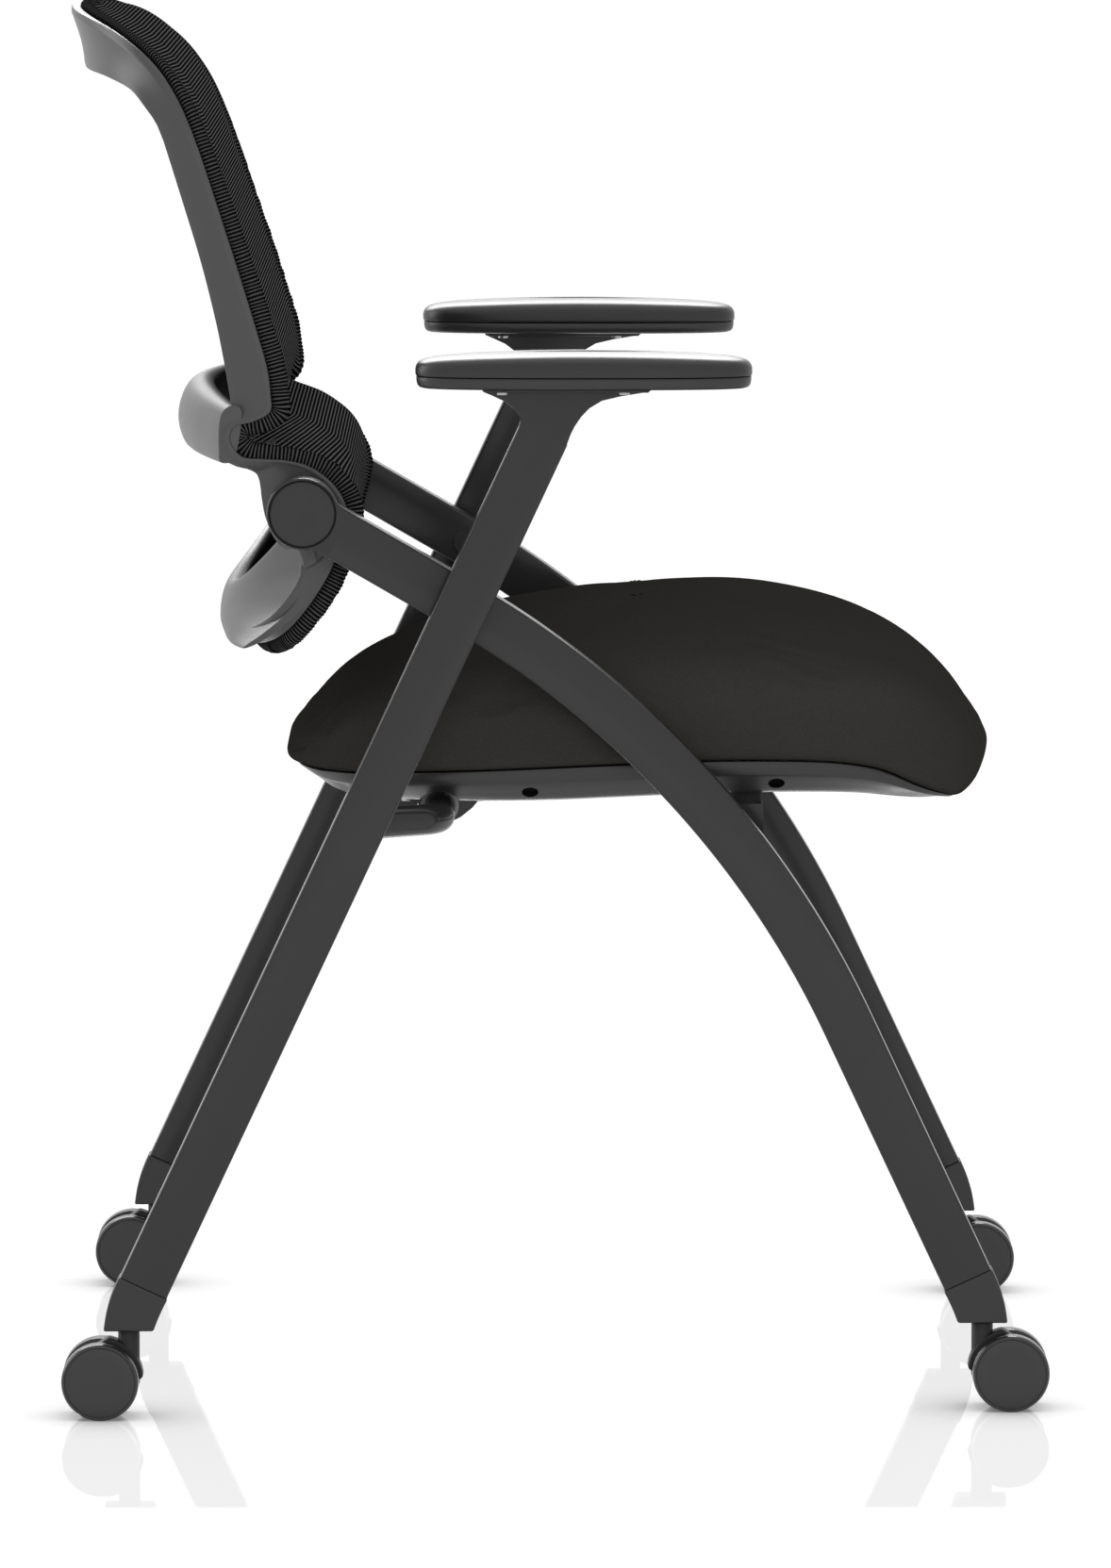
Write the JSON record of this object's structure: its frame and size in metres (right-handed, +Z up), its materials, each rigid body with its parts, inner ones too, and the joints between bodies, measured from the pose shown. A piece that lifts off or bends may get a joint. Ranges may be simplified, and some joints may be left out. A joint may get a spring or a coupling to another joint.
{
  "type": "nesting chair",
  "caption": "Nesting chair on casters with a crossed tube frame, padded seat that flips up, tilting mesh back and padded arms.",
  "frame": {"origin": "on the floor, below the middle of the chair's bounding box", "axes": "+X is the chair's front, +Y is the sitter's left, +Z is up"},
  "size_m": [0.6428, 0.644, 0.9056],
  "materials": {
    "frame_paint": "satin charcoal powder coat",
    "dark_steel": "dark semi-gloss bolt heads",
    "zinc_steel": "zinc-plated steel",
    "rubber_foot": "matt black rubber",
    "ferrule_plastic": "satin charcoal plastic",
    "hood_plastic": "satin black plastic",
    "wheel_nylon": "black nylon, lightly grained",
    "back_plastic": "satin grey plastic",
    "pan_plastic": "semi-gloss dark grey plastic",
    "mesh_cloth": "black ribbed open mesh",
    "seat_cloth": "black woven upholstery, matt",
    "board_wood": "plain plywood, hidden",
    "bush_plastic": "natural acetal",
    "arm_rubber": "soft-touch dark grey, satin"
  },
  "bodies": {
    "frame": {"rear_leg_left": "frame_paint", "rear_leg_right": "frame_paint", "front_leg_left": "frame_paint", "front_leg_right": "frame_paint", "cross_spacers": "frame_paint", "cross_bolts": "dark_steel", "seat_hinge_bar": "frame_paint", "front_cross_tube": "frame_paint", "seat_stop_tabs": "frame_paint", "seat_buffers": "rubber_foot", "ferrule_front_left": "ferrule_plastic", "ferrule_front_right": "ferrule_plastic", "ferrule_rear_left": "ferrule_plastic", "ferrule_rear_right": "ferrule_plastic", "stem_sockets": "zinc_steel", "arm_bracket_left": "frame_paint", "arm_bracket_right": "frame_paint", "arm_bases": "pan_plastic", "arm_pad_left": "arm_rubber", "arm_pad_right": "arm_rubber", "arm_screws": "zinc_steel", "hub_housing_left": "frame_paint", "hub_housing_right": "frame_paint", "hub_caps": "ferrule_plastic", "hub_pins": "zinc_steel", "tilt_springs": "zinc_steel"},
    "seat": {"seat_pan": "pan_plastic", "seat_board": "board_wood", "seat_cushion": "seat_cloth", "hinge_brackets": "frame_paint", "hinge_bushes": "bush_plastic", "bracket_screws": "zinc_steel", "pan_screws": "zinc_steel"},
    "back": {"back_rim": "back_plastic", "waist_bar": "back_plastic", "lower_bar": "back_plastic", "back_mesh": "mesh_cloth", "mesh_roll": "mesh_cloth", "pivot_plates": "frame_paint", "hub_bushes": "bush_plastic"},
    "caster_front_left": {"caster_stem_front_left": "zinc_steel", "caster_hood_front_left": "hood_plastic", "caster_axle_front_left": "zinc_steel"},
    "inner_wheel_front_left": {"wheel_inner_front_left": "wheel_nylon"},
    "outer_wheel_front_left": {"wheel_outer_front_left": "wheel_nylon"},
    "caster_front_right": {"caster_stem_front_right": "zinc_steel", "caster_hood_front_right": "hood_plastic", "caster_axle_front_right": "zinc_steel"},
    "inner_wheel_front_right": {"wheel_inner_front_right": "wheel_nylon"},
    "outer_wheel_front_right": {"wheel_outer_front_right": "wheel_nylon"},
    "caster_rear_left": {"caster_stem_rear_left": "zinc_steel", "caster_hood_rear_left": "hood_plastic", "caster_axle_rear_left": "zinc_steel"},
    "inner_wheel_rear_left": {"wheel_inner_rear_left": "wheel_nylon"},
    "outer_wheel_rear_left": {"wheel_outer_rear_left": "wheel_nylon"},
    "caster_rear_right": {"caster_stem_rear_right": "zinc_steel", "caster_hood_rear_right": "hood_plastic", "caster_axle_rear_right": "zinc_steel"},
    "inner_wheel_rear_right": {"wheel_inner_rear_right": "wheel_nylon"},
    "outer_wheel_rear_right": {"wheel_outer_rear_right": "wheel_nylon"}
  },
  "joints": [
    {"name": "seat_flip", "type": "hinge", "parent": "frame", "child": "seat", "pos_m": [-0.076, 0, 0.384], "axis": [0, -1, 0], "range_deg": [0, 55]},
    {"name": "back_tilt", "type": "hinge", "parent": "frame", "child": "back", "pos_m": [-0.1636, 0, 0.5836], "axis": [0, -1, 0], "range_deg": [0, 12], "stiffness_Nm_per_rad": 150, "springref_deg": -8.59},
    {"name": "swivel_front_left", "type": "hinge", "parent": "frame", "child": "caster_front_left", "pos_m": [0.2766, 0.252, 0.05], "axis": [0, 0, 1], "continuous": true},
    {"name": "roll_inner_front_left", "type": "hinge", "parent": "caster_front_left", "child": "inner_wheel_front_left", "pos_m": [0.2948, 0.252, 0.025], "axis": [0, 1, 0], "continuous": true},
    {"name": "roll_outer_front_left", "type": "hinge", "parent": "caster_front_left", "child": "outer_wheel_front_left", "pos_m": [0.2948, 0.252, 0.025], "axis": [0, 1, 0], "continuous": true},
    {"name": "swivel_front_right", "type": "hinge", "parent": "frame", "child": "caster_front_right", "pos_m": [0.2766, -0.252, 0.05], "axis": [0, 0, 1], "continuous": true},
    {"name": "roll_inner_front_right", "type": "hinge", "parent": "caster_front_right", "child": "inner_wheel_front_right", "pos_m": [0.2948, -0.252, 0.025], "axis": [0, 1, 0], "continuous": true},
    {"name": "roll_outer_front_right", "type": "hinge", "parent": "caster_front_right", "child": "outer_wheel_front_right", "pos_m": [0.2948, -0.252, 0.025], "axis": [0, 1, 0], "continuous": true},
    {"name": "swivel_rear_left", "type": "hinge", "parent": "frame", "child": "caster_rear_left", "pos_m": [-0.2766, 0.285, 0.05], "axis": [0, 0, 1], "continuous": true},
    {"name": "roll_inner_rear_left", "type": "hinge", "parent": "caster_rear_left", "child": "inner_wheel_rear_left", "pos_m": [-0.2948, 0.285, 0.025], "axis": [0, 1, 0], "continuous": true},
    {"name": "roll_outer_rear_left", "type": "hinge", "parent": "caster_rear_left", "child": "outer_wheel_rear_left", "pos_m": [-0.2948, 0.285, 0.025], "axis": [0, 1, 0], "continuous": true},
    {"name": "swivel_rear_right", "type": "hinge", "parent": "frame", "child": "caster_rear_right", "pos_m": [-0.2766, -0.285, 0.05], "axis": [0, 0, 1], "continuous": true},
    {"name": "roll_inner_rear_right", "type": "hinge", "parent": "caster_rear_right", "child": "inner_wheel_rear_right", "pos_m": [-0.2948, -0.285, 0.025], "axis": [0, 1, 0], "continuous": true},
    {"name": "roll_outer_rear_right", "type": "hinge", "parent": "caster_rear_right", "child": "outer_wheel_rear_right", "pos_m": [-0.2948, -0.285, 0.025], "axis": [0, 1, 0], "continuous": true}
  ]
}
